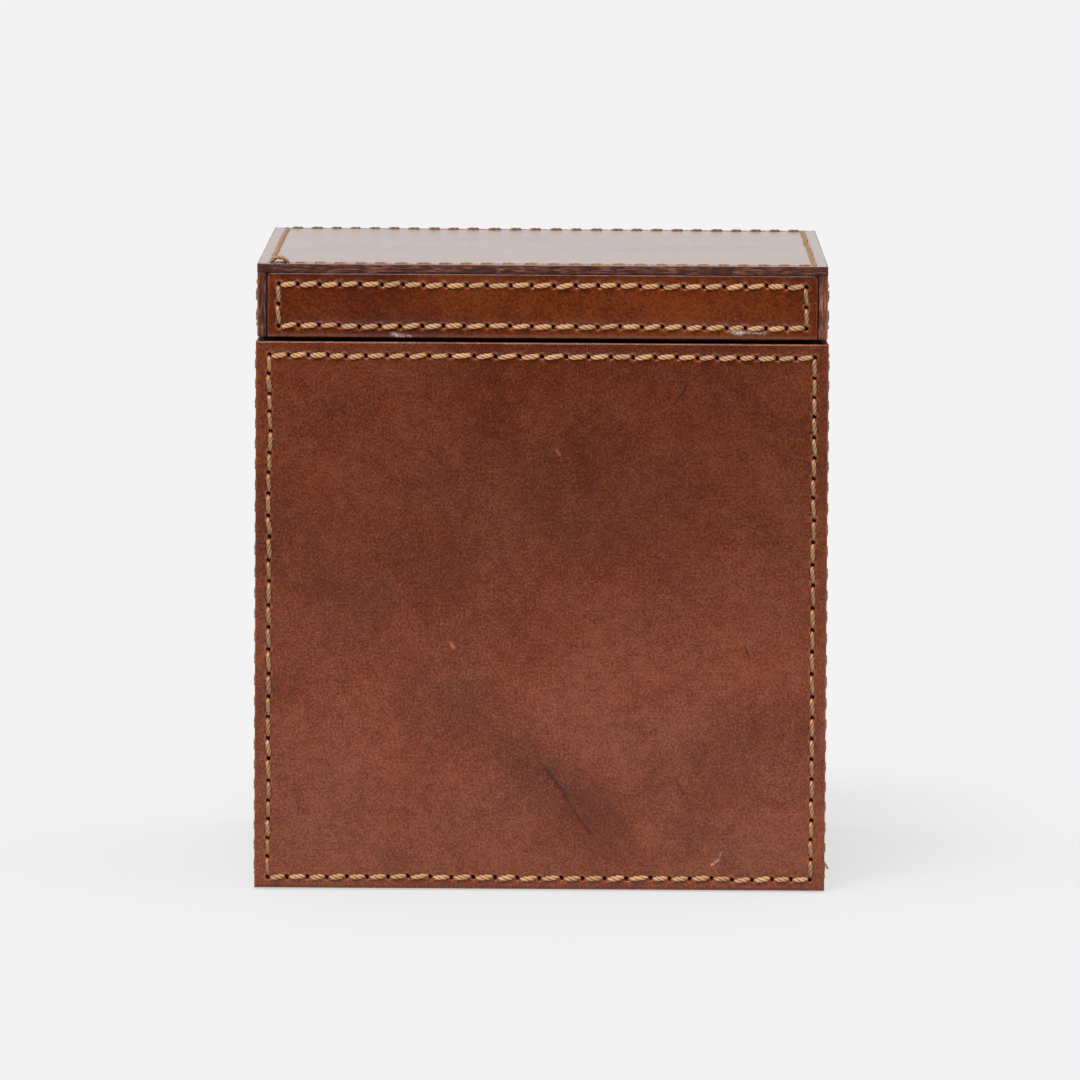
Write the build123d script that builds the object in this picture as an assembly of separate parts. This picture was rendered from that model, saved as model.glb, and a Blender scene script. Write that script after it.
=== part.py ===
from build123d import *
import os

# Leather-covered canister with a lift-off lid, in millimetres.
# The origin is on the floor under the middle of the box, +Z is up and the front faces -Y.

# Body, over its leather
body_width = 100.0
body_depth = 100.0
body_height = 96.4

# Lid, over its leather
lid_height = 12.8
lid_step = 0.2
shadow_gap = 0.8

# Leather
leather_thickness = 1.6
leather_floor_gap = 0.3
leather_seam = 0.2
leather_edge_round = 0.45

# Boards of the carcass and the lid
wall_thickness = 5.0
base_thickness = 4.0
lid_board_thickness = 3.0
rabbet_depth = 2.5

# Liner, which stands above the rim as the neck that the lid fits over
liner_thickness = 2.0
neck_clearance = 0.3
neck_lead_in = 0.8
well_floor_thickness = 2.0
lid_lining_thickness = 1.0

# Felt under the base
felt_thickness = 1.0
felt_setback = 3.0

# Saddle stitching
thread_width = 1.0
thread_height = 0.65
stitch_pitch = 3.75
stitch_gap = 1.1
stitch_end_slope = 0.45
stitch_slant = 8.0
body_stitch_inset = 2.4
lid_top_stitch_inset = 2.4
lid_edge_stitch_inset = 2.0

# Carcass, inside the leather
carcass_width = body_width - 2 * leather_thickness
carcass_depth = body_depth - 2 * leather_thickness
carcass_bottom = felt_thickness
base_top = carcass_bottom + base_thickness

# Inside of the carcass, where the liner stands
neck_width = carcass_width - 2 * wall_thickness
neck_depth = carcass_depth - 2 * wall_thickness
well_width = neck_width - 2 * liner_thickness
well_depth = neck_depth - 2 * liner_thickness

# Lid, from its lower edge upwards
lid_width = body_width - 2 * lid_step
lid_depth = body_depth - 2 * lid_step
lid_bottom = body_height + shadow_gap
lid_top = lid_bottom + lid_height
lid_frame_top = lid_top - leather_thickness
lid_board_bottom = lid_frame_top - lid_board_thickness
neck_top = lid_board_bottom - lid_lining_thickness

# Frame of the lid, inside the leather and outside the neck
lid_frame_width = lid_width - 2 * leather_thickness
lid_frame_depth = lid_depth - 2 * leather_thickness
lid_opening_width = neck_width + 2 * neck_clearance
lid_opening_depth = neck_depth + 2 * neck_clearance
lid_rabbet_depth = min(rabbet_depth, (lid_frame_width - lid_opening_width) / 4)


def block(width, depth, bottom, top, x=0.0, y=0.0):
    """A plain board, centred on x and y, from one height to another."""
    centre = Pos(x, y, (bottom + top) / 2)
    return centre * Box(width, depth, top - bottom)


def rabbeted_frame(width, depth, inner_width, inner_depth, bottom, top, rabbet, seat_bottom, seat_top):
    """Front, back, left and right boards, lapped at the corners, with a seat for a panel cut round the inside."""
    side = (width - inner_width) / 2
    end = (depth - inner_depth) / 2
    seat = block(inner_width + 2 * rabbet, inner_depth + 2 * rabbet, seat_bottom, seat_top)
    side_offset = (inner_width + side) / 2
    end_offset = (inner_depth + end) / 2
    side_length = inner_depth + 2 * rabbet
    sides = [
        block(side, side_length, bottom, top, x=sign * side_offset) - seat
        for sign in (-1, 1)
    ]
    laps = [
        block(side, side_length, bottom, top, x=sign * side_offset)
        for sign in (-1, 1)
    ]
    ends = [
        block(width, end, bottom, top, y=sign * end_offset) - laps - seat
        for sign in (-1, 1)
    ]
    return {"front": ends[0], "back": ends[1], "left": sides[0], "right": sides[1]}


def mitred_board(length, thickness, bottom, top):
    """A liner board whose outer face is on y = 0, mitred at both ends and eased along its outer top edge."""
    half = length / 2
    outline = Polyline(
        (-half, 0), (half, 0), (half - thickness, thickness), (thickness - half, thickness), close=True
    )
    board = Pos(0, 0, bottom) * extrude(make_face(outline), top - bottom)
    outer_top_edge = board.edges().filter_by(Axis.X).group_by(Axis.Z)[-1].sort_by(Axis.Y)[0]
    return chamfer(outer_top_edge, min(neck_lead_in, thickness / 2))


def liner_boards():
    """Four boards that line the well and stand above the rim."""
    long_board = mitred_board(neck_width, liner_thickness, base_top, neck_top)
    cross_board = mitred_board(neck_depth, liner_thickness, base_top, neck_top)
    return {
        "front": Pos(0, -neck_depth / 2, 0) * long_board,
        "right": Pos(neck_width / 2, 0, 0) * Rot(0, 0, 90) * cross_board,
        "back": Pos(0, neck_depth / 2, 0) * Rot(0, 0, 180) * long_board,
        "left": Pos(-neck_width / 2, 0, 0) * Rot(0, 0, 270) * cross_board,
    }


def leather_panel(width, height):
    """A leather panel lying on the XY plane, with its grain side up and its grain edges rounded."""
    panel = extrude(Rectangle(width, height), leather_thickness)
    grain_edges = panel.faces().sort_by(Axis.Z)[-1].edges()
    return fillet(grain_edges, min(leather_edge_round, leather_thickness / 3))


def one_stitch(length):
    """One visible stitch, along X on the XY plane: a bar whose two ends slope down into their holes."""
    foot = length / 2
    crown = foot - stitch_end_slope
    outline = Polyline(
        (-foot, 0), (foot, 0), (crown, thread_height), (-crown, thread_height), close=True
    )
    return extrude(make_face(Plane.XZ * outline), thread_width / 2, both=True)


def stitch_row(start, length, turn):
    """Stitches laid end to end from one corner hole to the next."""
    count = max(1, round(length / stitch_pitch))
    pitch = length / count
    stitch = one_stitch(pitch - stitch_gap)
    along = Pos(*start) * Rot(0, 0, turn)
    return [
        along * Pos((index + 0.5) * pitch, 0, 0) * Rot(0, 0, stitch_slant) * stitch
        for index in range(count)
    ]


def stitching(width, height, inset):
    """The stitches round one panel, standing on its grain side."""
    x = width / 2 - inset
    y = height / 2 - inset
    grain = leather_thickness
    rows = stitch_row((-x, -y, grain), 2 * x, 0)
    rows += stitch_row((x, -y, grain), 2 * y, 90)
    rows += stitch_row((x, y, grain), 2 * x, 180)
    rows += stitch_row((-x, y, grain), 2 * y, 270)
    return Compound(children=rows)


def facing(direction, distance, height):
    """The place of a panel whose flesh side stands at a distance from the middle, facing outwards."""
    x_direction = {
        "front": (1, 0, 0), "back": (-1, 0, 0), "left": (0, -1, 0), "right": (0, 1, 0),
    }[direction]
    outward = {
        "front": (0, -1, 0), "back": (0, 1, 0), "left": (-1, 0, 0), "right": (1, 0, 0),
    }[direction]
    origin = Vector(*outward) * distance + Vector(0, 0, height)
    return Plane(origin=origin, x_dir=x_direction, z_dir=outward).location


def stitched_panel(place, width, height, inset):
    """A leather panel and its stitching, set in place."""
    return place * leather_panel(width, height), place * stitching(width, height, inset)


def body_parts():
    """Carcass, liner, leathers, stitching and felt."""
    parts = {}
    walls = rabbeted_frame(
        carcass_width, carcass_depth, neck_width, neck_depth,
        carcass_bottom, body_height, rabbet_depth, carcass_bottom, base_top,
    )
    for side, board in walls.items():
        parts[f"{side}_wall_board"] = board
    parts["base_board"] = block(
        neck_width + 2 * rabbet_depth, neck_depth + 2 * rabbet_depth, carcass_bottom, base_top
    )
    for side, board in liner_boards().items():
        parts[f"{side}_liner_board"] = board
    parts["well_floor_board"] = block(
        well_width, well_depth, base_top, base_top + well_floor_thickness
    )
    parts["base_felt"] = block(
        body_width - 2 * felt_setback, body_depth - 2 * felt_setback, 0, felt_thickness
    )
    panel_height = body_height - leather_floor_gap
    middle = leather_floor_gap + panel_height / 2
    for side in ("front", "back"):
        place = facing(side, carcass_depth / 2, middle)
        leather, stitches = stitched_panel(place, body_width, panel_height, body_stitch_inset)
        parts[f"{side}_leather"] = leather
        parts[f"{side}_stitching"] = stitches
    for side in ("left", "right"):
        place = facing(side, carcass_width / 2, middle)
        leather, stitches = stitched_panel(place, carcass_depth, panel_height, body_stitch_inset)
        parts[f"{side}_leather"] = leather
        parts[f"{side}_stitching"] = stitches
    return parts


def lid_parts():
    """Frame, top board, lining, leathers and stitching of the lid."""
    parts = {}
    rails = rabbeted_frame(
        lid_frame_width, lid_frame_depth, lid_opening_width, lid_opening_depth,
        lid_bottom, lid_frame_top, lid_rabbet_depth, lid_board_bottom, lid_frame_top,
    )
    for side, rail in rails.items():
        parts[f"lid_{side}_rail"] = rail
    parts["lid_top_board"] = block(
        lid_opening_width + 2 * lid_rabbet_depth, lid_opening_depth + 2 * lid_rabbet_depth,
        lid_board_bottom, lid_frame_top,
    )
    parts["lid_lining_board"] = block(
        lid_opening_width, lid_opening_depth, neck_top, lid_board_bottom
    )
    edge_height = lid_frame_top - lid_bottom
    middle = lid_bottom + edge_height / 2
    inset_width = lid_frame_width - 2 * leather_seam
    for side in ("front", "back"):
        place = facing(side, lid_frame_depth / 2, middle)
        leather, stitches = stitched_panel(place, inset_width, edge_height, lid_edge_stitch_inset)
        parts[f"lid_{side}_leather"] = leather
        parts[f"lid_{side}_stitching"] = stitches
    for side in ("left", "right"):
        place = facing(side, lid_frame_width / 2, middle)
        leather, stitches = stitched_panel(place, lid_depth, edge_height, lid_edge_stitch_inset)
        parts[f"lid_{side}_leather"] = leather
        parts[f"lid_{side}_stitching"] = stitches
    leather, stitches = stitched_panel(
        Pos(0, 0, lid_frame_top), lid_width, lid_depth, lid_top_stitch_inset
    )
    parts["lid_top_leather"] = leather
    parts["lid_top_stitching"] = stitches
    return parts


os.makedirs("parts", exist_ok=True)
for node, shape in {**body_parts(), **lid_parts()}.items():
    export_step(shape, f"parts/{node}.step")
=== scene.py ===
"""The looks of a leather-covered canister with a lift-off lid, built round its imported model."""

import math
import random

import bpy
import numpy as np
from bpy.props import FloatProperty, FloatVectorProperty, IntProperty, PointerProperty
from bpy.types import Operator, Panel, PropertyGroup
from mathutils import Matrix, Vector
from mathutils.geometry import delaunay_2d_cdt


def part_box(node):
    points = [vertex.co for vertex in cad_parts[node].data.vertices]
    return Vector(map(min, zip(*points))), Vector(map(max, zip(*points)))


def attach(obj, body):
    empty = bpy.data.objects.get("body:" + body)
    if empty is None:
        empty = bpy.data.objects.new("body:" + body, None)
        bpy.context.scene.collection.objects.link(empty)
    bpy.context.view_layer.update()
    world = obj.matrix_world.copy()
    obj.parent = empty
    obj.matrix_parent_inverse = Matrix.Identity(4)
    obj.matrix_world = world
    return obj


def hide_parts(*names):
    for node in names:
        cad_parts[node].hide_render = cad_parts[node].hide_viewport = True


bl_info = {
    "name": "Leather canister looks",
    "version": (1, 0, 0),
    "blender": (4, 5, 0),
    "location": "View3D > Sidebar > Canister",
    "description": "Dresses a packed leather-covered canister in stitched hide, thread, cedar and felt",
    "category": "Object",
}

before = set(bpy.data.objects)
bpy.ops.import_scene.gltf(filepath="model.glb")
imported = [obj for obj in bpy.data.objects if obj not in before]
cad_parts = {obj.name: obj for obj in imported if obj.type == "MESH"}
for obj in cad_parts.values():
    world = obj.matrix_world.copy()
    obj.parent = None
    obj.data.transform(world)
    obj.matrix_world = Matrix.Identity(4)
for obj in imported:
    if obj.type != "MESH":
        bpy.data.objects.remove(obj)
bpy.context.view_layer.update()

MM = 0.001
# The way along each side, and the way outwards
SIDES = {
    "front": (Vector((1, 0, 0)), Vector((0, -1, 0))),
    "back": (Vector((-1, 0, 0)), Vector((0, 1, 0))),
    "left": (Vector((0, -1, 0)), Vector((-1, 0, 0))),
    "right": (Vector((0, 1, 0)), Vector((1, 0, 0))),
    "top": (Vector((1, 0, 0)), Vector((0, 0, 1))),
}
BODY_SIDES = ("front", "back", "left", "right")
LID_SIDES = ("top", "front", "back", "left", "right")

# Every panel has a seed of its own, and lies on its own patch of the hide
BODY_SEED = 11
LID_SEED = 41
SEED_STEP = 3
PATCH_STEP = 0.37

# Marks of use on a panel, in millimetres from its middle: two ends, width, strength and what they are
MARKS = {
    "front_leather": (
        (1.0, -26.6, 4.6, -31.2, 0.42, 0.75, "burnish"),
        (4.4, -31.6, 9.0, -38.2, 0.3, 0.6, "burnish"),
        (-2.8, -19.5, 0.4, -26.0, 0.3, 0.3, "burnish"),
        (25.4, 41.2, 24.5, 39.5, 0.22, 0.7, "burnish"),
        (24.5, 39.5, 23.1, 37.6, 0.22, 0.65, "burnish"),
        (39.7, 42.8, 39.4, 41.8, 0.3, 0.35, "burnish"),
        (35.8, -5.0, 36.4, -6.6, 0.22, 0.7, "burnish"),
        (23.9, -28.2, 25.2, -31.0, 0.22, 0.5, "burnish"),
        (-15.6, -4.9, -15.2, -5.5, 0.28, 0.9, "worn"),
        (2.6, 29.2, 3.2, 28.4, 0.2, 0.5, "worn"),
        (31.9, -41.2, 31.4, -42.6, 0.16, 0.14, "smear"),
        (31.4, -42.6, 30.2, -43.6, 0.18, 0.35, "smear"),
    ),
    "lid_front_leather": (
        (-26.2, -5.1, -24.4, -5.45, 0.3, 0.75, "smear"),
        (-23.6, -5.3, -22.9, -5.5, 0.2, 0.5, "smear"),
        (33.2, -4.3, 34.6, -4.4, 0.32, 1.0, "smear"),
        (34.6, -4.4, 38.8, -4.5, 0.16, 0.5, "smear"),
        (-33.0, -1.5, -29.5, 2.4, 0.2, 0.3, "burnish"),
    ),
}
# Thread that stands loose at the end of a seam, in millimetres in the box's own frame, with its width
LOOSE_ENDS = {
    "lid_top_stitching": (
        0.8,
        ((-47.3, -47.5, 109.7), (-47.1, -47.7, 110.5), (-46.4, -47.9, 111.0),
         (-45.5, -47.9, 110.9), (-44.8, -47.6, 110.4), (-44.3, -47.3, 109.6)),
    ),
    "right_stitching": (
        0.35,
        ((49.9, -47.6, 5.2), (50.3, -47.8, 4.7), (50.55, -48.0, 4.2), (50.75, -48.1, 4.05)),
    ),
}

# Patterns of the hide: repeats a metre, detail, roughness, distortion and the patch they start from
HIDE_PATTERNS = {
    "clouds": (20, 5, 0.55, 0.9, 0.0),
    "blotches": (95, 4, 0.6, 0.4, 0.0),
    "mottle": (620, 3, 0.6, 0.2, 0.0),
    "speckle": (2500, 3, 0.75, 0.0, 0.0),
    "drift": (60, 2, 0.5, 0.5, 7.0),
    "grit": (2600, 2, 0.7, 0.0, 3.0),
}
DYE_WEIGHTS = {"blotches": 0.75, "mottle": 1.05, "speckle": 3.8}
HUE_SHARES = (-0.12, 0.3, 1.1)
TONE_POWERS = (1.0, 1.2, 1.6)
PEBBLES_A_METRE = 1350
# Where the colour changes with height: from one height to another, in metres, and its strength below and
# above them. The body darkens towards the top; the lid top is painted lighter, as if lit more from above
BODY_HEIGHT_STEP = (0.04, 0.066, 1.14, 0.86)
LID_TOP_LIGHT_STEP = (0.1085, 0.1095, 1.0, 1.2)

# Woods: dark and light colour, how the grain is stretched, and roughness
CEDAR = ((0.22, 0.075, 0.03), (0.42, 0.19, 0.09))
WOODS = {
    "cedar_upright": (*CEDAR, (420, 420, 24), 0.55),
    "cedar_level": (*CEDAR, (24, 420, 420), 0.55),
    "carcass_board": ((0.022, 0.01, 0.006), (0.06, 0.028, 0.015), (30, 300, 300), 0.7),
}
FELT = (0.045, 0.028, 0.02)

# How awl holes stray from even spacing: share crowded towards the corners, along and across in millimetres
HOLE_CROWDING = (0.004, 0.016)
HOLE_SLIP = 0.12
HOLE_DRIFT = 0.07

# Spacing of the points that a panel is meshed through, in millimetres
RIM_STEP = 0.55
RIM_INSETS = (0.03, 0.09, 0.18, 0.36, 0.6, 0.85)
SEAM_OFFSETS = (-1.5, -0.9, -0.45, 0.45, 0.9, 1.5)
SEAM_OFFSET_STEP = 0.75
SEAM_STEP = 0.5
FIELD_STEP = 1.7
FIELD_MARGIN = 2.0
FIELD_PLAY = 0.3
HOLE_CLEARANCE = 0.62
HOLE_RINGS = ((0.13, 6), (0.26, 8), (0.4, 10), (0.56, 10))
MARK_STEP = 0.7
MARK_OFFSETS = (-2.0, -1.3, -0.65, 0.0, 0.65, 1.3, 2.0)
MARK_MARGIN = 0.9
SKIRT_LEVELS = (0.74, 0.5, 0.26, 0.0)
FIBRE_PLAY = 0.035
FIELD_SEED = 50
FIBRE_SEED = 90
ON_RIM = 1e-4

# Shape, wear and painted highlights of the grain side, in millimetres and shares
TOP_ROUND_SHARE = 0.4
EDGE_SLOPE, EDGE_SLOPE_REACH = 0.05, 0.7
GROOVE_REACH = 0.6
DIMPLE, DIMPLE_REACH = 0.05, 0.9
CALM_EDGE = 4
LONG_WAVES, SHORT_WAVES = (34, 7), (9, 9)
EDGE_WEAR_AND_HIGHLIGHT, TOP_EDGE_WEAR_AND_HIGHLIGHT, EDGE_WEAR_AND_HIGHLIGHT_REACH = 0.5, 0.2, 0.1
MARK_DEPTH = 0.06

# A laid stitch: its rings, its share of the pitch, where it starts to bend and how much it thins at its ends
STITCH_RINGS = 12
STITCH_REACH = 0.76
BEND_START = 0.4
END_TAPER = 0.3
RING_SPREAD = 0.8
# A ply: its corners round the thread, and the radius between two plies as a share of the whole
PLY_CORNERS = 3
PLY_GROOVE = 0.82
# What the seam nodes are given
SEAM_INPUTS = {
    "Seam": "Geometry", "Stitch": "Object", "Thread": "Material", "Pitch": "Float", "Slant": "Float",
    "Slant Play": "Float", "Girth Play": "Float", "Side Play": "Float", "Sink": "Float", "Seed": "Int",
    "Loose End": "Object",
}

# Where the room in front gives way to the sky: in its light, in reflections, and overhead
SKY_SPAN = (-0.1, 0.7)
SHINE_SPAN = (-0.1, 0.985)
OVERHEAD_SPAN = (0.2, 0.9)


def colour_setting(name, description, default):
    return FloatVectorProperty(
        name=name, description=description, default=default, size=3, subtype="COLOR", min=0, max=1
    )


def length_setting(name, description, default):
    return FloatProperty(
        name=name, description=description, default=default, min=0, unit="LENGTH", precision=5
    )


def share_setting(name, description, default):
    return FloatProperty(name=name, description=description, default=default, min=0, max=1)


def strength_setting(name, description, default):
    return FloatProperty(name=name, description=description, default=default, min=0)


def angle_setting(name, description, degrees):
    return FloatProperty(name=name, description=description, default=math.radians(degrees), subtype="ANGLE")


class HideSettings(PropertyGroup):
    """Shape and colour of the leather panels."""

    edge_round: length_setting("Edge round", "Radius of the grain edge of a panel", 0.22 * MM)
    seam_sink: length_setting("Seam sink", "How far the thread pulls the leather down", 0.07 * MM)
    hole_depth: length_setting("Hole depth", "Depth of an awl hole", 0.75 * MM)
    hole_length: length_setting("Hole length", "Length of an awl hole", 0.9 * MM)
    hole_width: length_setting("Hole width", "Width of an awl hole", 0.62 * MM)
    hole_lip: length_setting("Hole lip", "Height of the leather raised round an awl hole", 0.07 * MM)
    swell: length_setting("Swell", "Height of the slow waves over a panel", 0.05 * MM)
    body_dark: colour_setting("Body dark", "Darkest dye on the body", (0.082, 0.0115, 0.0018))
    body_middle: colour_setting("Body middle", "Common dye on the body", (0.136, 0.0265, 0.0068))
    body_light: colour_setting("Body light", "Lightest dye on the body", (0.215, 0.053, 0.021))
    lid_dark: colour_setting("Lid dark", "Darkest dye on the lid", (0.073, 0.008, 0.0001))
    lid_middle: colour_setting("Lid middle", "Common dye on the lid", (0.12, 0.019, 0.0003))
    lid_light: colour_setting("Lid light", "Lightest dye on the lid", (0.177, 0.034, 0.002))
    edge_dark: colour_setting("Edge dark", "Burnished part of a cut edge", (0.05, 0.016, 0.012))
    edge_light: colour_setting("Edge light", "Bare fibre of a cut edge", (0.3, 0.125, 0.085))
    # Colour of rubbed leather, also used as a painted highlight at edges, hole lips and the foot
    worn: colour_setting("Wear and highlight", "Leather rubbed bare at edges and holes", (0.5, 0.15, 0.055))
    smear: colour_setting("Smear", "Dried glue", (0.78, 0.7, 0.66))
    body_coat: share_setting("Body coat", "Polish on the body", 0.75)
    lid_coat: share_setting("Lid coat", "Polish on the lid", 1.0)
    body_clouds: strength_setting("Body clouds", "Slow change of dye over the body", 1.9)
    lid_clouds: strength_setting("Lid clouds", "Slow change of dye over the lid", 2.5)


class ThreadSettings(PropertyGroup):
    """Size, lay and colour of the saddle stitches."""

    pitch: length_setting("Pitch", "Distance from one hole to the next", 3.68 * MM)
    body_inset: length_setting("Body inset", "From a body panel's edge to its seam", 2.4 * MM)
    foot_inset: length_setting("Foot inset", "From a body panel's lower edge to its seam", 2.0 * MM)
    top_inset: length_setting("Lid top inset", "From the lid top's edge to its seam", 2.4 * MM)
    rim_inset: length_setting("Lid side inset", "From a lid side's edge to its seam", 2.0 * MM)
    thickness: length_setting("Thickness", "Width of the laid thread", 0.96 * MM)
    rise: length_setting("Rise", "Height of the thread's middle over the leather", 0.06 * MM)
    top_sink: length_setting("Top sink", "How much deeper the thread lies on the lid top", 0.2 * MM)
    side_sink: length_setting("Side sink", "How much deeper the thread lies on the sides", 0.2 * MM)
    dive: length_setting("Dive", "Depth of the thread's ends under the leather", 0.65 * MM)
    lay_length: length_setting("Lay length", "Length of one whole twist", 2.8 * MM)
    plies: IntProperty(name="Plies", description="Strands in the thread", default=3, min=2, max=5)
    slant: angle_setting("Slant", "Turn of each stitch in a level row", 8)
    upright_slant: share_setting("Upright slant", "Share of the slant in an upright row", 0.65)
    upright_girth: share_setting("Upright girth", "Thickness of the thread in an upright row", 0.88)
    near_girth: share_setting("Near girth", "Thickness of the thread along the lid top's front", 0.75)
    slant_play: angle_setting("Slant play", "Most that a stitch turns from its slant", 3.5)
    girth_play: share_setting("Girth play", "Most that a stitch differs in thickness", 0.08)
    side_play: length_setting("Side play", "Most that a stitch strays from its seam", 0.06 * MM)
    # Painted shade on the thread of upright rows, of the sides and of the lid top
    soil: share_setting("Stitch shade", "Painted shade on the middle of each stitch in upright rows", 0.5)
    outer_stitch_shade: share_setting("Outer stitch shade", "Grime on the thread of the sides and the lid top", 0.8)
    thread_light: colour_setting("Thread", "Waxed thread on the crown of a ply", (0.74, 0.42, 0.2))
    thread_dark: colour_setting("Thread shade", "Thread between the plies", (0.27, 0.115, 0.043))


class StageSettings(PropertyGroup):
    """Camera, lamps and floor."""

    camera_place: FloatVectorProperty(
        name="Camera place",
        description="Where the camera stands",
        default=(0.00682, -1.76284, 0.22512),
        subtype="TRANSLATION",
        unit="LENGTH",
    )
    camera_tilt: angle_setting("Tilt", "Camera tilt above level", -5.445)
    camera_turn: angle_setting("Turn", "Camera turn about the vertical", 0.235)
    camera_roll: angle_setting("Roll", "Camera roll about its own line", 0.337)
    lens: FloatProperty(
        name="Lens", description="Focal length on a 36 mm sensor", default=328.1, min=1, unit="CAMERA"
    )
    floor_size: length_setting("Floor size", "Side of the square floor", 24.0)
    floor_colour: colour_setting("Floor colour", "Paper of the floor", (0.8, 0.8, 0.8))
    floor_front: length_setting("Floor front", "How far the floor reaches in front of the middle", 0.6)
    floor_glow: colour_setting("Floor glow", "Light that the paper gives back evenly", (0.809, 0.809, 0.809))
    floor_evenness: share_setting("Floor evenness", "Share of that light in what is seen of the floor", 0.75)
    surround: colour_setting("Surround", "What the camera sees round the floor", (0.896, 0.896, 0.896))
    sky_strength: strength_setting("Sky", "Light from above and behind", 1.0)
    room_strength: strength_setting("Room", "Light from the room in front", 0.28)
    room_shine: strength_setting("Room shine", "The room in front in reflections", 0.05)
    key_strength: strength_setting("Key", "Strength of the key lamp", 2.3)
    key_spread: angle_setting("Key spread", "Size of the key lamp as seen", 30)
    key_tilt: angle_setting("Key tilt", "Lean of the key lamp from straight down", 33)
    key_turn: angle_setting("Key turn", "Turn of the key lamp about the vertical", -14)


class NodeBench:
    """Adds nodes to a tree, with numbers set and sockets joined in one call."""

    def __init__(self, tree):
        self.tree = tree

    def add(self, kind, inputs=None, **settings):
        node = self.tree.nodes.new(kind)
        for name, value in settings.items():
            setattr(node, name, value)
        self.fill(node, inputs or {})
        return node

    def fill(self, node, inputs):
        """Feeds inputs of a node, each by its name or its number."""
        for name, value in inputs.items():
            self.feed(node.inputs[name], value)

    def feed(self, socket, value):
        if isinstance(value, bpy.types.NodeSocket):
            self.tree.links.new(value, socket)
        else:
            socket.default_value = value

    def math(self, operation, *values):
        return self.add("ShaderNodeMath", dict(enumerate(values)), operation=operation).outputs[0]

    def vector_math(self, operation, *values):
        return self.add("ShaderNodeVectorMath", dict(enumerate(values)), operation=operation).outputs

    def remap(self, value, low, high, to_low, to_high):
        inputs = {"Value": value, "From Min": low, "From Max": high, "To Min": to_low, "To Max": to_high}
        return self.add("ShaderNodeMapRange", inputs).outputs["Result"]

    def blend(self, share, first, second, kind="MIX"):
        node = self.add("ShaderNodeMix", {0: share}, data_type="RGBA", blend_type=kind)
        for number, value in ((6, first), (7, second)):
            joined = isinstance(value, bpy.types.NodeSocket)
            self.feed(node.inputs[number], value if joined else (*value, 1.0))
        return node.outputs[2]

    def noise(self, place, scale, detail, roughness, distortion, patch=None):
        inputs = {
            "Vector": place, "Scale": scale, "Detail": detail,
            "Roughness": roughness, "Distortion": distortion,
        }
        if patch is not None:
            inputs["W"] = patch
        dimensions = "3D" if patch is None else "4D"
        return self.add("ShaderNodeTexNoise", inputs, noise_dimensions=dimensions).outputs["Fac"]

    def rgb(self, red, green, blue):
        return self.add("ShaderNodeCombineColor", {"Red": red, "Green": green, "Blue": blue}).outputs[0]

    def object_place(self):
        return self.add("ShaderNodeTexCoord").outputs["Object"]

    def stretched(self, place, scale, turn=(0.0, 0.0, 0.0)):
        return self.add("ShaderNodeMapping", {"Vector": place, "Rotation": turn, "Scale": scale}).outputs[0]

    def attribute(self, name):
        return self.add("ShaderNodeAttribute", attribute_name=name).outputs["Fac"]

    def bump(self, height, distance, strength=1.0, under=None):
        inputs = {"Height": height, "Distance": distance, "Strength": strength}
        if under is not None:
            inputs["Normal"] = under
        return self.add("ShaderNodeBump", inputs).outputs["Normal"]


def cleared_bench(owner):
    """A bench on the emptied node tree of a material or a world."""
    owner.use_nodes = True
    owner.node_tree.nodes.clear()
    return NodeBench(owner.node_tree)


def new_finish(name):
    """A material with a Principled shader on its output, and its node bench."""
    material = bpy.data.materials.new(name)
    bench = cleared_bench(material)
    shader = bench.add("ShaderNodeBsdfPrincipled")
    bench.add("ShaderNodeOutputMaterial", {"Surface": shader.outputs["BSDF"]})
    return material, bench, shader


def dye_ramp(bench, share, dyes):
    """Colour from the darkest dye at 0 to the lightest at 1."""
    ramp = bench.add("ShaderNodeValToRGB", {"Fac": share})
    stops = ramp.color_ramp.elements
    stops.new(0.5)
    for stop, dye in zip(stops, dyes):
        stop.color = (*dye, 1)
    return ramp.outputs["Color"]


def height_tone_and_light(bench, place, clouds, step):
    """Strength of the colour at each height, with a cloudy border where it changes; it paints the lid top
    lighter as if lit from above.
    """
    step_low, step_high, below, above = step
    wander = (step_high - step_low) / 2
    height = bench.add("ShaderNodeSeparateXYZ", {"Vector": place}).outputs["Z"]
    height = bench.math("ADD", height, bench.remap(clouds, 0.3, 0.7, -wander, wander))
    return bench.remap(height, step_low, step_high, below, above)


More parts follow.
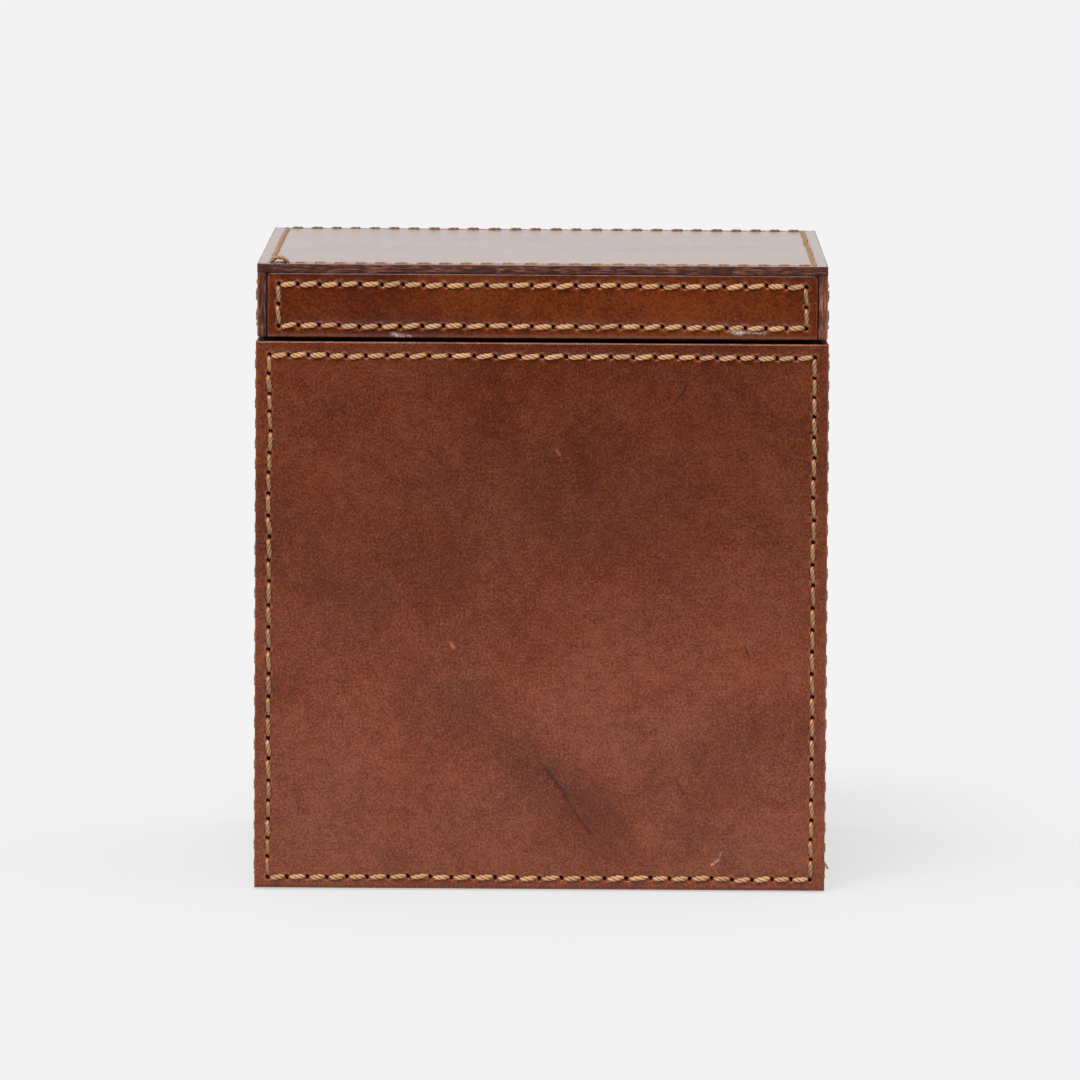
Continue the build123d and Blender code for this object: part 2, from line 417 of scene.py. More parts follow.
def grain_leather(name, dyes, coat, cloudiness, step):
    """Full-grain hide: cloudy dye, fine pebble and pores, rubbed edges with painted highlights, burnished
    seams with painted shade, painted shade in the awl holes, and a top painted lighter on the lid.
    """
    settings = bpy.context.scene.canister_hide
    material, bench, shader = new_finish(name)
    place = bench.object_place()
    hide = bench.attribute("hide")
    pattern = {
        kind: bench.noise(place, *numbers, bench.math("ADD", hide, patch))
        for kind, (*numbers, patch) in HIDE_PATTERNS.items()
    }
    cells = {"Vector": place, "W": hide, "Scale": PEBBLES_A_METRE}
    pebble = bench.add("ShaderNodeTexVoronoi", cells, voronoi_dimensions="4D").outputs["Distance"]

    leaning = bench.stretched(place, (110, 1100, 1100), (0.0, 0.7, 0.4))
    folds = bench.noise(leaning, 1, 2, 0.5, 0.6, hide)
    folds = bench.math("ABSOLUTE", bench.math("SUBTRACT", folds, 0.5))
    creased = bench.remap(pattern["clouds"], 0.5, 0.62, 0, 1)
    creases = bench.math("MULTIPLY", bench.remap(folds, 0.0, 0.022, 1, 0), creased)

    # Painted shade: the dye is darkened along the creases
    share = bench.math("MULTIPLY_ADD", creases, -0.25, 0.5)
    for kind, weight in {"clouds": cloudiness, **DYE_WEIGHTS}.items():
        swing = bench.math("MULTIPLY", bench.math("SUBTRACT", pattern[kind], 0.5), weight)
        share = bench.math("ADD", share, swing)
    slow_hue = bench.remap(pattern["drift"], 0.3, 0.7, -0.2, 0.2)
    hue = bench.math("ADD", slow_hue, bench.remap(pattern["grit"], 0.3, 0.7, -0.9, 0.9))
    tint = bench.rgb(*(bench.math("MULTIPLY_ADD", hue, part, 1.0) for part in HUE_SHARES))
    # Painted light: the lid top comes out lighter than the lid sides; the body is darker towards the top
    tone = height_tone_and_light(bench, place, pattern["clouds"], step)
    depth = bench.rgb(*(bench.math("POWER", tone, power) for power in TONE_POWERS))
    colour = bench.blend(1.0, dye_ramp(bench, share, dyes), tint, "MULTIPLY")
    colour = bench.blend(1.0, colour, depth, "MULTIPLY")

    wear_and_highlight_mottle = bench.remap(pattern["mottle"], 0.35, 0.6, 0.5, 1.0)
    crusted = bench.remap(pattern["speckle"], 0.4, 0.55, 0.2, 1.0)
    stains_and_painted_light = (
        # Wear, and painted highlights at edges, hole lips and the foot
        (bench.math("MULTIPLY", bench.attribute("worn"), wear_and_highlight_mottle), settings.worn),
        # Dark marks of use, and painted shade in the holes, along the seam, above the foot and under the lid
        # top
        (bench.attribute("burnish"), tuple(0.35 * part for part in dyes[0])),
        (bench.math("MULTIPLY", bench.attribute("smear"), crusted), settings.smear),
    )
    for stain_and_light_share, stain_and_light_colour in stains_and_painted_light:
        colour = bench.blend(stain_and_light_share, colour, stain_and_light_colour)

    grain = bench.math("ADD", bench.math("MULTIPLY", pebble, -0.7), pattern["speckle"])
    waves = bench.bump(pattern["blotches"], 0.0003, 0.3)
    relief = bench.bump(creases, -0.00008, 0.6, waves)
    relief = bench.bump(pattern["mottle"], 0.00014, 0.5, relief)
    bench.fill(shader, {
        "Base Color": colour, "Roughness": 0.55, "Specular IOR Level": 0.02,
        "Coat Weight": coat, "Coat Roughness": 0.17,
        "Coat Normal": bench.bump(grain, 0.00005, 0.6, waves),
        "Normal": bench.bump(grain, 0.00009, 0.8, relief),
    })
    return material


def panel_seed(body, side):
    """The seed of one panel."""
    first, sides = (BODY_SEED, BODY_SIDES) if body == "box" else (LID_SEED, LID_SIDES)
    return first + SEED_STEP * sides.index(side)


def cut_leather(name, dark, light):
    """Dark burnished fibre with paler streaks along it, palest on the right side of the lid."""
    material, bench, shader = new_finish(name)
    place = bench.add("ShaderNodeUVMap", uv_map="edge").outputs["UV"]
    streaks = bench.noise(bench.stretched(place, (420, 3600, 1)), 1, 4, 0.65, 0.5)
    smears = bench.remap(bench.noise(place, 260, 4, 0.6, 0.6), 0.35, 0.65, 0.15, 1)
    share = bench.math("MULTIPLY", bench.remap(streaks, 0.45, 0.66, 0, 1), smears)
    left, right = (PATCH_STEP * panel_seed("lid", side) for side in ("left", "right"))
    pale = bench.remap(bench.attribute("hide"), left, right, 1.0, 1.5)
    colour = bench.blend(1.0, bench.blend(share, dark, light), bench.rgb(pale, pale, pale), "MULTIPLY")
    bench.fill(shader, {
        "Base Color": colour, "Roughness": 0.7, "Specular IOR Level": 0.1,
        "Normal": bench.bump(streaks, 0.0002, 0.7),
    })
    return material


def waxed_thread(name, light, dark, plies):
    """Painted shade between the plies, with fibres along each ply, and painted shade on the middle of a
    stitch, between its upper end and its foot.
    """
    material, bench, shader = new_finish(name)
    lay = bench.add("ShaderNodeUVMap", uv_map="lay").outputs["UV"]
    split = bench.add("ShaderNodeSeparateXYZ", {"Vector": lay}).outputs
    tone = bench.attribute("tone")
    strand = bench.math("MULTIPLY", tone, 40)
    angle = bench.math("MULTIPLY", split["Y"], 2 * math.pi * plies)
    loose = bench.remap(bench.noise(lay, 3, 2, 0.5, 0.0, strand), 0.3, 0.7, -0.9, 0.9)
    crown = bench.math("COSINE", bench.math("ADD", angle, loose))
    fibres = bench.noise(bench.stretched(lay, (5, 46, 1)), 1, 3, 0.6, 0.3, strand)
    # Painted shade: the thread is darker towards the grooves between the plies and lighter on each crown
    share = bench.remap(crown, -1.0, 0.15, 0, 1)
    share = bench.math("MULTIPLY", share, bench.remap(fibres, 0.25, 0.65, 0.62, 1.0))
    grey = bench.remap(tone, 0, 1, 0.82, 1.08)
    colour = bench.blend(1.0, bench.blend(share, dark, light), bench.rgb(grey, grey, grey), "MULTIPLY")

    # Painted shade: the middle of each stitch in upright rows, more on the sides, and in the rows of the lid
    # top is darkened as if it got less light; its ends stay bright
    soil = bench.attribute("soil")
    uphill = bench.math("MULTIPLY", bench.math("SUBTRACT", split["X"], 0.5), bench.math("SIGN", soil))
    below_top, above_foot = bench.remap(uphill, 0.2, 0.3, 1, 0), bench.remap(uphill, -0.5, -0.38, 0, 1)
    crest = bench.math("MULTIPLY", below_top, above_foot)
    painted_shade_colour = tuple(0.45 * part for part in dark)
    colour = bench.blend(bench.math("MULTIPLY", crest, bench.math("ABSOLUTE", soil)), colour, painted_shade_colour)
    relief = bench.bump(crown, 0.0001, 0.4)
    bench.fill(shader, {
        "Base Color": colour, "Roughness": 0.55, "Specular IOR Level": 0.4,
        "Normal": bench.bump(fibres, 0.00005, 0.6, relief),
    })
    return material


def sawn_wood(name, dark, light, grain, rough):
    """Straight-grained board with pores and a slow change of tone along it."""
    material, bench, shader = new_finish(name)
    place = bench.stretched(bench.object_place(), grain)
    rings = bench.noise(place, 1, 4, 0.6, 0.6)
    pores = bench.noise(place, 6, 3, 0.7, 0.2)
    colour = bench.blend(bench.remap(rings, 0.35, 0.66, 0, 1), dark, light)
    colour = bench.blend(bench.remap(pores, 0.62, 0.72, 0, 0.6), colour, dark)
    bench.fill(shader, {"Base Color": colour, "Roughness": rough, "Normal": bench.bump(pores, 0.00008, 0.5)})
    return material


def pressed_felt(name, colour):
    """Short matted fibre."""
    material, bench, shader = new_finish(name)
    place = bench.object_place()
    nap = bench.noise(place, 1900, 4, 0.7, 0.6)
    lint = bench.noise(place, 300, 3, 0.6, 0.2)
    lighter = tuple(2.1 * part for part in colour)
    mixed = bench.blend(bench.math("MULTIPLY", nap, lint), colour, lighter)
    bench.fill(shader, {
        "Base Color": mixed, "Roughness": 0.95, "Specular IOR Level": 0.15, "Sheen Weight": 0.3,
        "Normal": bench.bump(nap, 0.0003, 0.8),
    })
    return material


def bell(distance, reach):
    """A smooth fall from 1 at no distance to about a third at the reach."""
    return np.exp(-((distance / reach) ** 2))


def distance_to_segment(x, y, start, end):
    """Distance of points x, y from a straight line between two ends."""
    along = Vector(end) - Vector(start)
    share = ((x - start[0]) * along.x + (y - start[1]) * along.y) / along.length_squared
    share = share.clip(0, 1)
    return np.hypot(x - start[0] - share * along.x, y - start[1] - share * along.y)


def rectangle_sides(x, y, middle):
    """The sides of a rectangle of half sizes x and y at a middle height, from the lower left corner."""
    corners = [(-x, middle - y), (x, middle - y), (x, middle + y), (-x, middle + y)]
    return list(zip(corners, corners[1:] + corners[:1]))


def outline(x, y, middle, step):
    """Points round such a rectangle, about a step apart."""
    points = []
    for (ax, ay), (bx, by) in rectangle_sides(x, y, middle):
        count = max(2, round(math.hypot(bx - ax, by - ay) / step))
        points += [(ax + (bx - ax) * i / count, ay + (by - ay) * i / count) for i in range(count)]
    return points


def ring_quads(rings, levels, around):
    """Quads between closed rings of points, and where their corners lie, as level and way round."""
    quads, corners = [], []
    for upper, lower, high, low in zip(rings, rings[1:], levels, levels[1:]):
        for index in range(len(upper)):
            after = (index + 1) % len(upper)
            left, right = around[index], around[index + 1]
            quads.append((upper[index], lower[index], lower[after], upper[after]))
            corners.append(((high, left), (low, left), (low, right), (high, right)))
    return quads, corners


def store_layout(mesh, name, corners, first=0):
    """Keeps where the corners of polygons lie, from a first polygon on."""
    layer = mesh.uv_layers.new(name=name)
    for polygon, places in zip(mesh.polygons[first:], corners):
        for corner, place in zip(polygon.loop_indices, places):
            layer.data[corner].uv = place


def store_number(mesh, name, domain, values):
    """Keeps a number for every point or edge of a mesh."""
    mesh.attributes.new(name, "FLOAT", domain).data.foreach_set("value", np.asarray(values, np.float32))


class HidePanel:
    """Where a leather panel lies, its size and its awl holes, in millimetres of its own plane."""

    def __init__(self, body, side, inset, foot_inset):
        node = f"{side}_leather" if body == "box" else f"lid_{side}_leather"
        self.node, self.body = node, body
        self.seed = panel_seed(body, side)
        self.marks = MARKS.get(node, ())
        self.is_top = side == "top"
        along, self.outward = SIDES[side]
        ways = (along, self.outward.cross(along), self.outward)
        low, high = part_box(node)
        self.width, self.height, self.thickness = (abs((high - low).dot(way)) / MM for way in ways)
        flesh = (low + high) / 2 - self.outward * self.thickness * MM / 2
        self.place = Matrix.Translation(flesh) @ Matrix(ways).transposed().to_4x4() @ Matrix.Scale(MM, 4)
        inset, foot_inset = inset / MM, foot_inset / MM
        self.seam_x = self.width / 2 - inset
        self.seam_y = (self.height - inset - foot_inset) / 2
        self.seam_middle = (foot_inset - inset) / 2
        self.holes = self.awl_holes(bpy.context.scene.canister_thread.pitch / MM)

    def awl_holes(self, pitch):
        """Holes round the seam from the lower left corner, each with the way that the seam runs."""
        chance = random.Random(self.seed)
        holes = []
        for start, end in rectangle_sides(self.seam_x, self.seam_y, self.seam_middle):
            run = Vector(end) - Vector(start)
            way = run.normalized()
            across = Vector((-way.y, way.x))
            count = max(1, round(run.length / pitch))
            crowding = chance.uniform(*HOLE_CROWDING)
            for index in range(count):
                share = index / count - crowding * math.sin(2 * math.pi * index / count)
                slip = 0.0 if index == 0 else chance.gauss(0, HOLE_SLIP)
                drift = chance.gauss(0, HOLE_DRIFT)
                holes.append((Vector(start) + run * share + way * slip + across * drift, way))
        return holes

    def slow_waves(self, x, y, wavelength, count):
        """Smooth random waves of about one height, for points x, y."""
        chance = np.random.default_rng(self.seed)
        total = np.zeros_like(x)
        for _ in range(count):
            heading = chance.uniform(0, 2 * np.pi)
            reach = 2 * np.pi / (wavelength * chance.uniform(0.7, 1.6))
            phase = chance.uniform(0, 2 * np.pi)
            total += np.sin(reach * (x * np.cos(heading) + y * np.sin(heading)) + phase)
        return total / math.sqrt(count)

    def hole_reach(self, x, y, hide):
        """Distance from the nearest awl hole, as a share of its size and plain, for points x, y."""
        long_half, short_half = hide.hole_length / MM / 2, hide.hole_width / MM / 2
        reach = np.full(x.shape, 99.0)
        away = np.full(x.shape, 99.0)
        for centre, way in self.holes:
            slit = way if abs(way.y) > abs(way.x) else Vector((way.x, -way.x)).normalized()
            dx, dy = x - centre.x, y - centre.y
            lengthwise = dx * slit.x + dy * slit.y
            sideways = dy * slit.x - dx * slit.y
            reach = np.minimum(reach, np.hypot(lengthwise / long_half, sideways / short_half))
            away = np.minimum(away, np.hypot(dx, dy))
        return reach, away

    def grain_surface(self, x, y, hide):
        """Height of the grain above the flesh side, with the share of every mark, wear and painted light, for
        points x, y.
        """
        edge = np.minimum(self.width / 2 - np.abs(x), self.height / 2 - np.abs(y)).clip(0)
        seam = np.abs(np.maximum(np.abs(x) - self.seam_x, np.abs(y - self.seam_middle) - self.seam_y))
        reach, away = self.hole_reach(x, y, hide)
        radius = hide.edge_round / MM * (TOP_ROUND_SHARE if self.is_top else 1.0)
        inside = (radius - edge).clip(0)
        edge_drop = radius - np.sqrt(radius**2 - inside**2) + EDGE_SLOPE * np.exp(-edge / EDGE_SLOPE_REACH)
        groove = hide.seam_sink / MM * bell(seam, GROOVE_REACH)
        pit = (1.35 - reach).clip(0, 1)
        pit = hide.hole_depth / MM * pit * pit * (3 - 2 * pit)
        dimple = DIMPLE * bell(away, DIMPLE_REACH)
        calm = (edge / CALM_EDGE).clip(0, 1)
        waves = self.slow_waves(x, y, *LONG_WAVES) + 0.25 * self.slow_waves(x, y, *SHORT_WAVES)
        rim = bell(reach - 1.5, 0.3)
        height = self.thickness - edge_drop - groove - pit - dimple
        height += calm * (hide.swell / MM * waves)
        height += hide.hole_lip / MM * rim
        stains_and_painted_light = self.stains_and_painted_light(y, edge, seam, reach, rim)
        for ax, ay, bx, by, width, strength, kind in self.marks:
            depth = strength * bell(distance_to_segment(x, y, (ax, ay), (bx, by)), width)
            stains_and_painted_light[kind] = np.maximum(stains_and_painted_light[kind], depth)
            height -= (0.0 if kind == "smear" else MARK_DEPTH) * depth
        return height.clip(0.2), stains_and_painted_light

    def stains_and_painted_light(self, y, edge, seam, reach, rim):
        """Wear with painted highlights round the edge and the hole lips, a painted highlight along the foot,
        painted shade in the holes and along the seam, and painted shadow above the foot and under the top of
        the lid.
        """
        # Rubbed edges with a painted highlight along them, and a painted highlight on the lip round each awl
        # hole
        worn = np.maximum((TOP_EDGE_WEAR_AND_HIGHLIGHT if self.is_top else EDGE_WEAR_AND_HIGHLIGHT) * bell(edge, EDGE_WEAR_AND_HIGHLIGHT_REACH), 0.6 * rim)
        # Painted shade in the awl holes, and burnished leather with painted shade along the seam
        burnish = np.maximum((1.25 - reach).clip(0, 1) ** 0.4, 0.15 * bell(seam, 0.7))
        if self.body == "box":
            above_foot = y + self.height / 2
            # A painted highlight of bounced light along the foot
            worn = np.maximum(worn, bell(above_foot, 0.12))
            # A painted shadow line just above the floor
            burnish = np.maximum(burnish, 0.75 * bell(above_foot - 0.3, 0.14))
        elif not self.is_top:
            under_top = self.height / 2 - y
            # Painted shadow under the overhang of the lid top, with no highlight there
            worn *= 1 - bell(under_top, 0.35)
            burnish = np.maximum(burnish, 0.7 * bell(under_top, 0.3))
        return {"worn": worn, "burnish": burnish, "smear": np.zeros_like(y)}

    def surface_points(self):
        """Points that the grain side is meshed through, close at the edge, the seam, holes and marks."""
        points = outline(self.width / 2, self.height / 2, 0, RIM_STEP)
        rim_count = len(points)
        for inset in RIM_INSETS:
            points += outline(self.width / 2 - inset, self.height / 2 - inset, 0, RIM_STEP)
        loose = []
        for offset in SEAM_OFFSETS:
            loose += outline(self.seam_x - offset, self.seam_y - offset, self.seam_middle, SEAM_OFFSET_STEP)
        loose += outline(self.seam_x, self.seam_y, self.seam_middle, SEAM_STEP)
        loose = np.array(loose + self.field_points())
        holes = np.array([centre for centre, way in self.holes])
        gap = np.sqrt(((loose[:, None, :] - holes[None, :, :]) ** 2).sum(2)).min(1)
        points += [tuple(point) for point in loose[gap > HOLE_CLEARANCE]]
        points += self.mark_points()
        for centre, way in self.holes:
            points.append((centre.x, centre.y))
            for ring, (radius, count) in enumerate(HOLE_RINGS):
                for index in range(count):
                    turn = 2 * math.pi * (index + 0.5 * (ring % 2)) / count
                    points.append((centre.x + radius * math.cos(turn), centre.y + radius * math.sin(turn)))
        return points, rim_count

    def field_points(self):
        """An uneven grid of points inside the seam."""
        reach_x, reach_y = self.seam_x - FIELD_MARGIN, self.seam_y - FIELD_MARGIN
        if reach_y <= 0:
            return []
        columns, rows = (
            np.linspace(-reach, reach, max(2, round(2 * reach / FIELD_STEP))) for reach in (reach_x, reach_y)
        )
        grid_x, grid_y = np.meshgrid(columns, rows)
        chance = np.random.default_rng(self.seed + FIELD_SEED)
        shift_x, shift_y = chance.uniform(-FIELD_PLAY, FIELD_PLAY, (2, *grid_x.shape))
        return list(zip((grid_x + shift_x).ravel(), (grid_y + shift_y + self.seam_middle).ravel()))

    def mark_points(self):
        """Close points round every mark of use."""
        points = []
        reach_x, reach_y = self.width / 2 - MARK_MARGIN, self.height / 2 - MARK_MARGIN
        for ax, ay, bx, by, width, _, _ in self.marks:
            start, end = Vector((ax, ay)), Vector((bx, by))
            way = (end - start).normalized()
            across = Vector((-way.y, way.x)) * width
            steps = max(2, round((end - start).length / (MARK_STEP * width)))
            for index in range(-2, steps + 3):
                spine = start.lerp(end, index / steps)
                for offset in MARK_OFFSETS:
                    point = spine + across * offset
                    if abs(point.x) < reach_x and abs(point.y) < reach_y:
                        points.append(tuple(point))
        return points

    def skirt(self, x, y, height):
        """Rings of raised fibre down the cut edge, below rim points x, y at a height."""
        inward_x = -np.sign(x) * (self.width / 2 - np.abs(x) < ON_RIM)
        inward_y = -np.sign(y) * (self.height / 2 - np.abs(y) < ON_RIM)
        chance = np.random.default_rng(self.seed + FIBRE_SEED)
        rings = []
        for level in SKIRT_LEVELS:
            pull = np.abs(chance.normal(0, FIBRE_PLAY, len(x)))
            rings.append(np.stack([x + inward_x * pull, y + inward_y * pull, height * level], 1))
        return rings

    def mesh(self, hide, grain_finish, edge_finish):
        """The closed panel: grain side, cut edges with raised fibre, and flesh side."""
        points, count = self.surface_points()
        rim = list(range(count))
        flat, _, faces, *_ = delaunay_2d_cdt([Vector(point) for point in points], [], [rim], 1, 1e-6)
        x = np.array([point.x for point in flat])
        y = np.array([point.y for point in flat])
        height, stains_and_painted_light = self.grain_surface(x, y, hide)
        skirt = self.skirt(x[:count], y[:count], height[:count])
        vertices = np.concatenate([np.stack([x, y, height], 1), *skirt])

        steps = np.hypot(np.diff(x[:count], append=x[0]), np.diff(y[:count], append=y[0]))
        run = np.concatenate([[0.0], np.cumsum(steps)]) * MM
        starts = [0, *range(len(x), len(vertices), count)]
        rings = [range(start, start + count) for start in starts]
        levels = [level * self.thickness * MM for level in (1.0, *SKIRT_LEVELS)]
        quads, corners = ring_quads(rings, levels, run)
        polygons = [tuple(face) for face in faces] + quads + [tuple(reversed(rings[-1]))]

        mesh = bpy.data.meshes.new(self.node + "_hide")
        mesh.from_pydata([tuple(vertex) for vertex in vertices], [], polygons)
        stains_and_painted_light["hide"] = np.full(len(vertices), self.seed * PATCH_STEP)
        for name, values in stains_and_painted_light.items():
            store_number(mesh, name, "POINT", np.pad(values, (0, len(vertices) - len(values))))
        store_layout(mesh, "edge", [[(way, level) for level, way in quad] for quad in corners], len(faces))
        mesh.polygons.foreach_set("material_index", np.arange(len(polygons)) >= len(faces))
        mesh.shade_smooth()
        mesh.materials.append(grain_finish)
        mesh.materials.append(edge_finish)
        mesh.transform(self.place)
        mesh.update()
        return mesh

    def seam_path(self):
        """The seam as a closed chain of edges from hole to hole, with how each stitch is to lie."""
        thread = bpy.context.scene.canister_thread
        mesh = bpy.data.meshes.new(self.node + "_seam")
        points = [self.place @ Vector((*centre, self.thickness)) for centre, way in self.holes]
        count = len(points)
        mesh.from_pydata(points, [(i, (i + 1) % count) for i in range(count)], [])
        outward = mesh.attributes.new("outward", "FLOAT_VECTOR", "POINT")
        outward.data.foreach_set("vector", np.tile(np.array(self.outward, np.float32), count))
        across, upward = np.array([way for centre, way in self.holes]).T
        upright = np.abs(upward) > np.abs(across)
        near = (across > 0.5) & self.is_top
        on_side = abs(self.outward.x) > 0.5
        # Painted shade for the thread of upright rows, of the sides and of the lid top
        upright_stitch_shade = thread.outer_stitch_shade if on_side else thread.soil
        row_stitch_shade = np.where(near, thread.soil, thread.outer_stitch_shade) if self.is_top else 0.0
        shares = (
            ("lean", thread.upright_slant, 1.0),
            ("girth", thread.upright_girth, np.where(near, thread.near_girth, 1.0)),
            ("soil", upright_stitch_shade * np.copysign(1, upward), row_stitch_shade),
        )
        for name, upright_share, row_share in shares:
            store_number(mesh, name, "EDGE", np.where(upright, upright_share, row_share))
        return mesh


def panels_of(body):
    """The leather panels of a body."""
    thread = bpy.context.scene.canister_thread
    if body == "box":
        return [HidePanel(body, side, thread.body_inset, thread.foot_inset) for side in BODY_SIDES]
    insets = {side: thread.top_inset if side == "top" else thread.rim_inset for side in LID_SIDES}
    return [HidePanel(body, side, inset, inset) for side, inset in insets.items()]


def place_piece(name, mesh, body, node):
    """Puts a finished mesh in the scene as a piece that stands for a node and rides on its body."""
    piece = bpy.data.objects.new(name, mesh)
    bpy.context.scene.collection.objects.link(piece)
    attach(piece, body)
    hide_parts(node)
    return piece


def plied_tube(name, path, widths, thread):
    """Twisted plies along a path of points, with the width of the thread at each point."""
    sides = PLY_CORNERS * thread.plies
    last = len(path) - 1
    vertices = []
    run = 0.0
    for index, (point, width) in enumerate(zip(path, widths)):
        ahead = (path[min(index + 1, last)] - path[max(index - 1, 0)]).normalized()
        left = Vector((-ahead.y, ahead.x, 0)).normalized()
        up = ahead.cross(left)
        if index:
            run += (point - path[index - 1]).length
        wound = -2 * math.pi * run / thread.lay_length
        for side in range(sides):
            turn = 2 * math.pi * side / sides + wound
            out = width / 2 * (1.0 if side % PLY_CORNERS == 0 else PLY_GROOVE)
            vertices.append(point + out * (math.cos(turn) * up + math.sin(turn) * left))
    rings = [range(ring * sides, (ring + 1) * sides) for ring in range(last + 1)]
    lengthwise = [ring / last for ring in range(last + 1)]
    quads, lay = ring_quads(rings, lengthwise, [side / sides for side in range(sides + 1)])
    mesh = bpy.data.meshes.new(name)
    mesh.from_pydata(vertices, [], [*quads, tuple(rings[0]), tuple(reversed(rings[-1]))])
    store_layout(mesh, "lay", lay)
    mesh.shade_smooth()
    return bpy.data.objects.new(name, mesh)


def laid_stitch(thread):
    """One stitch along X, from hole to hole: it rises out of one hole and dives into the next."""
    path, widths = [], []
    for ring in range(STITCH_RINGS + 1):
        share = 2 * ring / STITCH_RINGS - 1
        bend = max(0.0, (abs(share) - BEND_START) / (1 - BEND_START))
        x = thread.pitch / 2 * STITCH_REACH * math.copysign(abs(share) ** RING_SPREAD, share)
        path.append(Vector((x, 0, thread.rise - (thread.rise + thread.dive) * bend**2)))
        widths.append(thread.thickness * (1.0 - END_TAPER * bend))
    return plied_tube("laid_stitch", path, widths, thread)


def loose_end(node, thread):
    """The loose thread of a seam, or nothing."""
    if node not in LOOSE_ENDS:
        return None
    width, places = LOOSE_ENDS[node]
    path = [Vector(place) * MM for place in places]
    finer = [path[0]]
    for start, end in zip(path, path[1:]):
        finer += [start.lerp(end, 0.5), end]
    return plied_tube("loose_end", finer, [width * MM] * len(finer), thread)


def seam_tree():
    """Geometry Nodes that lay one stitch on every edge of a seam path."""
    tree = bpy.data.node_groups.new("saddle_seam", "GeometryNodeTree")
    for name, kind in SEAM_INPUTS.items():
        tree.interface.new_socket(name, in_out="INPUT", socket_type=f"NodeSocket{kind}")
    tree.interface.new_socket("Stitches", in_out="OUTPUT", socket_type="NodeSocketGeometry")
    bench = NodeBench(tree)
    given = bench.add("NodeGroupInput").outputs

    def stored(name, kind="FLOAT"):
        """A value stored on the seam path."""
        node = bench.add("GeometryNodeInputNamedAttribute", {"Name": name}, data_type=kind)
        return node.outputs["Attribute"]

    def chance(stream, limits=None):
        """A random number, different for every stitch: from 0 to 1, or between limits."""
        inputs = {**(limits or {}), "Seed": bench.math("ADD", given["Seed"], stream)}
        return bench.add("FunctionNodeRandomValue", inputs, data_type="FLOAT").outputs[1]

    def play(amount, stream):
        """A random number from minus an amount to the amount."""
        return chance(stream, {2: bench.math("MULTIPLY", amount, -1.0), 3: amount})

    ends = bench.add("GeometryNodeInputMeshEdgeVertices").outputs
    capture = bench.add("GeometryNodeCaptureAttribute", domain="EDGE")
    for name in ("Run", "Outward"):
        capture.capture_items.new("VECTOR", name)
    run = bench.vector_math("SUBTRACT", ends["Position 2"], ends["Position 1"])[0]
    bench.fill(capture, {"Geometry": given["Seam"], "Run": run, "Outward": stored("outward", "FLOAT_VECTOR")})
    edges = capture.outputs
    middles = bench.add("GeometryNodeMeshToPoints", {"Mesh": edges["Geometry"]}, mode="EDGES").outputs[0]

    slant = bench.math("MULTIPLY", given["Slant"], stored("lean"))
    slant = bench.math("ADD", slant, play(given["Slant Play"], 1))
    slant = bench.add("ShaderNodeCombineXYZ", {"Z": slant}).outputs[0]
    slant = bench.add("FunctionNodeEulerToRotation", {0: slant}).outputs[0]
    ways = {0: edges["Outward"], 1: edges["Run"]}
    lie = bench.add("FunctionNodeAxesToRotation", ways, primary_axis="Z", secondary_axis="X").outputs[0]
    turn = bench.add("FunctionNodeRotateRotation", {0: lie, 1: slant}, rotation_space="LOCAL").outputs[0]

    stretch = bench.math("DIVIDE", bench.vector_math("LENGTH", edges["Run"])["Value"], given["Pitch"])
    girth = bench.math("ADD", stored("girth"), play(given["Girth Play"], 2))
    scale = bench.add("ShaderNodeCombineXYZ", {"X": stretch, "Y": girth, "Z": girth}).outputs[0]
    stitch = bench.add("GeometryNodeObjectInfo", {"Object": given["Stitch"], "As Instance": True})
    laid = bench.add(
        "GeometryNodeInstanceOnPoints",
        {"Points": middles, "Instance": stitch.outputs["Geometry"], "Rotation": turn, "Scale": scale},
    ).outputs[0]
    lowered = bench.math("MULTIPLY", given["Sink"], -1.0)
    slip = bench.add("ShaderNodeCombineXYZ", {"Y": play(given["Side Play"], 3), "Z": lowered}).outputs[0]
    slipped = bench.add(
        "GeometryNodeTranslateInstances", {"Instances": laid, "Translation": slip, "Local Space": True}
    ).outputs[0]
    toned = bench.add(
        "GeometryNodeStoreNamedAttribute", {"Name": "tone", "Geometry": slipped, "Value": chance(4)},
        data_type="FLOAT", domain="INSTANCE",
    )
    real = bench.add("GeometryNodeRealizeInstances", {"Geometry": toned.outputs[0]})
    loose = bench.add("GeometryNodeObjectInfo", {"Object": given["Loose End"]})
    joined = bench.add("GeometryNodeJoinGeometry", {0: real.outputs[0]})
    bench.feed(joined.inputs[0], loose.outputs["Geometry"])
    dress = {"Geometry": joined.outputs[0], "Material": given["Thread"]}
    dressed = bench.add("GeometryNodeSetMaterial", dress)
    bench.add("NodeGroupOutput", {"Stitches": dressed.outputs[0]})
    return tree


def modifier_socket(tree, name):
    """The identifier under which a modifier keeps the input of that name."""
    return next(item.identifier for item in tree.interface.items_tree if item.name == name)


